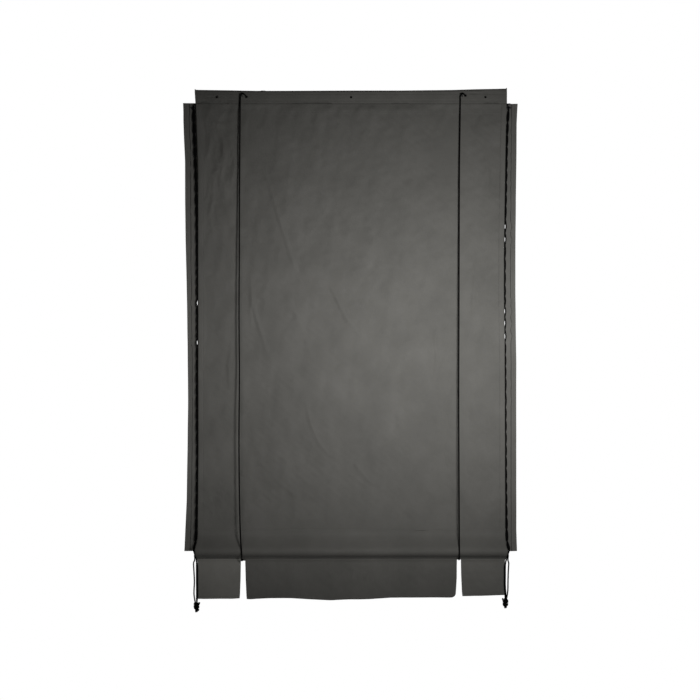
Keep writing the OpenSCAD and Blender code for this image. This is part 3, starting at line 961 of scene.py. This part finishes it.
# -------- cloth: the side strips
STRIP_TOP, STRIP_LOW = -20.2, -1454.0
STRIP_Y = -1.5
strip_outer = {
    "left": profile([(-20, 538.6), (-43, 537.6), (-75, 537.6), (-139, 535.3), (-203, 532.3), (-331, 532.0),
                     (-459, 530.3), (-587, 527.4), (-667, 525.8), (-800, 524.0), (-971, 522.4), (-1131, 524.3),
                     (-1291, 527.0), (-1387, 531.4), (-1454, 534.4)], 8),
    "right": profile([(-20, 534.4), (-43, 533.2), (-85, 531.2), (-203, 530.4), (-331, 528.8), (-469, 527.5),
                      (-600, 527.1), (-725, 528.2), (-843, 529.8), (-1291, 530.2), (-1387, 530.4),
                      (-1454, 532.4)], 8),
}


def strip_inner(side, z):
    """The inner edge hides behind the panel, and draws back where the pull strands part."""
    back = np.zeros(np.shape(z))
    for at, size in EYES[side]:
        back = np.maximum(back, min(size / 0.7, 1.0) * 10.0 * bell(z, at, 11.0))
    return 487.2 + back


def strip_relief(side, x, z):
    """How far a strip stands off the wall: flat where the tape holds it, freer towards its outer edge."""
    seed = 140 if side == "left" else 150
    outer = strip_outer[side](z)
    free = unit((x - 505) / 25.0)
    h = 0.25 + 0.12 * wobble(x, z, 30, seed) + 0.2 * wobble(x, z, 90, seed + 1)
    h = h + free * (1.4 + 1.1 * wobble(0.2 * x, z, 130, seed + 2) + 0.8 * wobble(0.2 * x, z, 330, seed + 3))
    h = np.clip(h, 0.0, 6.0)
    h = h + 0.5 * unit((10.0 - (outer - x)) / 1.5) - 0.4 * bell(outer - x, 8.6, 1.2)
    for end in (STRIP_TOP, STRIP_LOW):
        h = h + 0.5 * unit((9.0 - np.abs(z - end)) / 1.5)
    edge = np.minimum(outer - x, np.minimum(STRIP_TOP - z, z - STRIP_LOW))
    return np.maximum(h - turned(edge, 3.2, 1.6), -0.3)


def strip_point(side, away, z):
    """Places on a strip's face, from how far out from the blind's middle they are and their height."""
    return stacked(away * SIDES[side], STRIP_Y - strip_relief(side, away, z), z)


for side, sign in SIDES.items():
    zs = STRIP_TOP - spaced(STRIP_TOP - STRIP_LOW, CLOTH_STEP, EDGE_STEPS[:8])
    us = np.concatenate([np.linspace(0, 0.62, 10), 1 - np.array(EDGE_STEPS[:10])[::-1] / 38.0])
    if sign < 0:
        us = us[::-1]
    Z, U = np.meshgrid(zs, us, indexing="ij")
    A = strip_inner(side, Z) * (1 - U) + strip_outer[side](Z) * U
    low = Z + (0.8 * wobble(A, 0 * A, 60, 160 + sign)) * unit((STRIP_LOW + 30 - Z) / 30)
    low = low + (1.1 - 1.1 * sign) * unit((Z - STRIP_TOP + 40) / 40)
    low = low - (0.7 - 0.7 * sign) * unit((STRIP_LOW + 40 - Z) / 40)
    Y = STRIP_Y - strip_relief(side, A, Z)
    strip = cloth(f"side_strip_{side}_cloth", stacked(A * sign, Y, low), 1.0, CANVAS,
                  stacked(A * sign, Z))
    hang(strip, f"side_strip_{side}", "head")
    z_line = np.arange(STRIP_TOP - 9, STRIP_LOW + 9, -STITCH)
    stitches(f"strip_thread_{side}", strip_point(side, strip_outer[side](z_line) - 8.6, z_line), "head")
    for end, at in (("top", STRIP_TOP - 7.5), ("low", STRIP_LOW + 7.5)):
        a_line = np.arange(497.0, strip_outer[side](at) - 9, 3.4)
        stitches(f"strip_thread_{side}_{end}", strip_point(side, a_line, np.full(len(a_line), at)), "head")

# -------- cloth: the tunnel round the rod
roll_left = profile([(-1380, 490.8), (-1405, 491.0), (-1422, 492.6), (-1436, 496.4), (-1449, 498.4),
                     (-1457, 497.0), (-1473, 496.0), (-1482, 494.6)], 20)
roll_right = profile([(-1380, 493.8), (-1418, 494.0), (-1436, 496.0), (-1449, 500.4), (-1460, 499.0),
                      (-1473, 497.6), (-1482, 495.4)], 20)
# Front of the cloth as y and z: off the panel's plane, forward over the rod, round it, and back to the seam
SLEEVE = [(-13.04, -1384.0), (-13.2, -1391.0), (-13.9, -1397.0), (-16.0, -1404.0), (-19.8, -1411.5),
          (-24.6, -1419.0), (-29.8, -1426.5), (-34.8, -1433.5), (-38.8, -1439.5), (-41.4, -1445.0),
          (-42.6, -1450.0), (-42.3, -1454.6), (-40.9, -1458.8), (-38.2, -1462.4), (-34.4, -1465.4),
          (-30.0, -1467.6), (-25.4, -1469.6), (-21.0, -1471.8), (-17.0, -1474.2), (-13.8, -1477.0),
          (-12.0, -1479.6), (-11.2, -1482.6)]
SLEEVE_STEP = 1.6
section = resample([(0.0, y, z) for y, z in SLEEVE], SLEEVE_STEP)
U, V = np.meshgrid(spaced(PANEL_WIDE, CLOTH_STEP) / PANEL_WIDE, np.arange(len(section)) * SLEEVE_STEP)
TY, TZ = (np.broadcast_to(section[:, k][:, None], U.shape) for k in (1, 2))
TX = -roll_left(TZ) * (1 - U) + roll_right(TZ) * U
TZ = TZ + 2.6 * TX / 490 * unit((V - V[-1, 0] + 5.0) / 5.0)
tunnel_grid = stacked(TX, TY, TZ)
inward = np.minimum(U, 1 - U) * PANEL_WIDE
free = unit(V / 40.0) * unit((V[-1, 0] - V) / 16.0)
relief = free * (0.25 * wobble(TX, V, 60, 170) + 0.35 * wobble(TX, V * 0.3, 160, 171)
                 + 0.25 * wobble(TX, V * 0.2, 420, 172)) * np.where(TZ > -1446, 1.0, 0.35)
hemmed = side_hem(inward) + unit(V / 30.0) * (turned(inward) - turned(inward, 4.0, 3.0))
tunnel_grid = tunnel_grid + normals_of(tunnel_grid) * (relief + hemmed)[..., None]
sleeve = cloth("tunnel_sleeve", tunnel_grid, 1.0, CANVAS, stacked((U - 0.5) * CUT_WIDE, SEAM_LOW - V))

zs = np.linspace(SEAM_LOW - 2.0, -1474.0, 30)
Z, U = np.meshgrid(zs, np.linspace(0, 1, 124), indexing="ij")
X = -489.6 * (1 - U) + 491.6 * U
back_layer = cloth("tunnel_back", stacked(X, np.full(X.shape, -12.9) - 0.05 * wobble(X, Z, 60, 175), Z),
                   0.9, CANVAS, stacked(X, Z))
tunnel = joined("tunnel_cloth", [sleeve, back_layer])
hang(tunnel, "tunnel", "roll")
stitches("tunnel_thread", level_row(np.arange(-486, 488, STITCH), -11.9, -1468.0), "roll", (0.0, 1.0, 0.0))

# -------- cloth: the tail
TAIL_TOP = -1478.0


def tail_flap(name, node, left, right, low, seed, mat, corner=0.0):
    """One flap of the tail: left, right and low are profiles of its edges; corner rounds its lower right."""
    wide = right(-1540) - left(-1540)
    near = EDGE_STEPS[:7]
    down = np.concatenate([np.linspace(0, 0.12, 8), np.linspace(0.15, 0.93, 26),
                           1 - np.array(near)[::-1] / 130.0])
    V, U = np.meshgrid(down, spaced(wide, 4.5, near) / wide, indexing="ij")
    z = TAIL_TOP + (-1600 - TAIL_TOP) * V
    X = left(z) * (1 - U) + right(z) * U
    bottom = low(X)
    if corner:
        over = np.clip(X - (right(-1596) - corner), 0, corner)
        bottom = bottom + corner - np.sqrt(np.maximum(corner ** 2 - over ** 2, 0))
    Z = TAIL_TOP + (bottom - TAIL_TOP) * V
    h = unit(V * 4) * (0.5 * wobble(X, Z * 0.6, 90, seed) + 0.22 * wobble(X, Z, 30, seed + 1)
                       + 0.9 * V * wobble(X, Z * 0.3, 260, seed + 2))
    h = h + 0.6 * unit((9.0 - (Z - bottom)) / 1.5) - 0.4 * bell(Z - bottom, 8.0, 1.2)
    for edge, way in ((left(z), 1), (right(z), -1)):
        inward = way * (X - edge)
        h = h + 0.4 * unit((6.0 - inward) / 1.5)
    edge = np.minimum(np.minimum(X - left(z), right(z) - X), Z - bottom)
    lean = 3.4 * unit((Z + 1492.0) / 14.0) ** 2
    Y = CLOTH_Y - np.clip(h, -3.0, 5.0) + turned(edge, 3.2, 1.6) + turned(Z - bottom, 4.2, 2.6) - lean
    obj = cloth(name, stacked(X, Y, Z), 1.0, mat, stacked(X, Z))
    hang(obj, node, "roll")
    inside = (X[0] > left(z)[0] + 4) & (X[0] < right(z)[0] - 4 - corner)
    # The last row of points above the turned edge is where the stitches run
    k = 33
    stitches(name + "_thread", resample(np.stack([X[k], Y[k], Z[k]], 1)[inside], STITCH), "roll")


# Each flap takes a lighter or darker painted-light copy of the canvas
tail_flap("tail_flap_left", "tail_left",
          profile([(-1460, -494.0), (-1480, -493.2), (-1492, -491.2), (-1610, -490.4)]),
          profile([(-1460, -352.4), (-1482, -352.4), (-1540, -353.4), (-1590, -355.4), (-1610, -357.4)], 6),
          profile([(-500, -1606.6), (-470, -1607.0), (-420, -1606.4), (-380, -1606.2), (-362, -1605.1),
                   (-340, -1602.6)], 10),
          180, CANVAS_PAINTED_LIGHT)
tail_flap("tail_flap_centre", "tail_centre",
          profile([(-1460, -339.2), (-1482, -338.8), (-1540, -337.2), (-1590, -334.8), (-1610, -333.2)], 6),
          profile([(-1460, 339.4), (-1500, 338.8), (-1545, 338.7), (-1580, 337.0), (-1610, 334.8)], 6),
          profile([(-340, -1605.9), (-325, -1608.4), (-305, -1606.8), (-257, -1604.4), (-193, -1604.4),
                   (-129, -1608.6), (-65, -1611.6), (-25, -1609.4), (0, -1608.6), (30, -1608.6),
                   (62, -1607.4), (126, -1603.2), (190, -1602.8), (254, -1602.4), (315, -1602.8),
                   (340, -1602.4)], 12),
          190, CANVAS_PAINTED_SHADE, corner=15.0)
tail_flap("tail_flap_right", "tail_right",
          profile([(-1460, 351.4), (-1482, 351.6), (-1530, 352.6), (-1585, 355.0), (-1610, 358.0)], 6),
          profile([(-1460, 494.6), (-1480, 493.8), (-1492, 492.0), (-1610, 492.4)]),
          profile([(340, -1598.4), (362, -1598.2), (420, -1596.8), (500, -1594.0)], 10),
          200, CANVAS_PAINTED_HALF_LIGHT)


# -------- corner tabs
def corner_tab(sign):
    """A short loop of webbing, folded over the ring's wire and sewn behind the hem."""
    line = resample([(0.0, -2.0, -19.0), (0.0, -2.1, -26.0), (0.0, -2.6, -33.0), (0.0, -4.6, -35.6),
                     (0.0, -6.6, -35.0), (0.0, -7.2, -33.2)], 0.8)
    rows = len(line)
    across = np.linspace(-13, 13, 20)
    X = 499.0 * sign + np.broadcast_to(across, (rows, 20))
    fray = 0.25 * wobble(X, line[:, 2][:, None] + 0 * X, 9, 230)
    grid = stacked(X, line[:, 1][:, None] + 0 * X + 0.1 * fray, line[:, 2][:, None] + 0 * X + fray)
    run = np.arange(rows)[:, None] * 0.8 + 0 * X
    return cloth("tab_part", grid, 1.1, WEBBING, stacked(X, -run))


tabs = joined("corner_tab_webbing", [corner_tab(-1), corner_tab(1)])
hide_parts("corner_tabs")
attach(tabs, "head")

# -------- CAD pieces that keep their shape
finishes = {
    "batten": WOOD, "fixing_eyelets": EYELET, "front_cord_eyelets": EYELET, "front_screw_eyes": WIRE,
    "rear_screw_eyes": WIRE, "corner_rings": WIRE, "grip_tape_left": GRIP, "grip_tape_right": GRIP,
    "rod": TUBE, "rod_cap_left": CAP, "rod_cap_right": CAP,
}
for name, mat in finishes.items():
    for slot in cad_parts[name].material_slots:
        slot.material = mat

# -------- floor, world and light
bpy.ops.mesh.primitive_grid_add(x_subdivisions=8, y_subdivisions=8, size=8.0, location=(0, 0, -3.02))
floor = bpy.context.object
floor.name = "floor"
floor.data.materials.append(FLOOR)

world = bpy.data.worlds.new("world")
scene.world = world
world.use_nodes = True
tree = world.node_tree
background = tree.nodes["Background"]
background.inputs["Color"].default_value = (1.0, 1.0, 1.0, 1.0)
path_node = tree.nodes.new("ShaderNodeLightPath")
strength = tree.nodes.new("ShaderNodeMapRange")
strength.inputs["To Min"].default_value = 0.018
strength.inputs["To Max"].default_value = 1.0
tree.links.new(path_node.outputs["Is Camera Ray"], strength.inputs["Value"])
tree.links.new(strength.outputs["Result"], background.inputs["Strength"])


def area_light(name, where, towards, size, power, spread):
    """A round lamp: metres, watts, and the full angle of its beam in degrees."""
    data = bpy.data.lights.new(name, "AREA")
    data.spread = math.radians(spread)
    data.shape = "DISK"
    data.size = size
    data.energy = power
    light = bpy.data.objects.new(name, data)
    light.location = where
    aim = np.array(towards) - np.array(where)
    aim = aim / np.linalg.norm(aim)
    light.rotation_euler = (math.acos(-aim[2]), 0, math.atan2(aim[1], aim[0]) - math.pi / 2)
    light.visible_camera = False
    scene.collection.objects.link(light)


area_light("key", (0.50, -1.6, -0.88), (0.26, 0.0, -0.72), 0.5, 8.7, 80)
area_light("fill", (-0.9, -2.2, -1.05), (-0.60, 0.0, -1.00), 1.0, 1.3, 52)
area_light("back", (-0.7, 1.9, -0.6), (-0.1, 0.0, -0.75), 0.8, 13.0, 90)
area_light("floor", (0.0, -0.3, -2.0), (0.0, -0.301, -3.2), 2.4, 5.0, 150)

scene.view_settings.view_transform = "Standard"
scene.view_settings.look = "None"
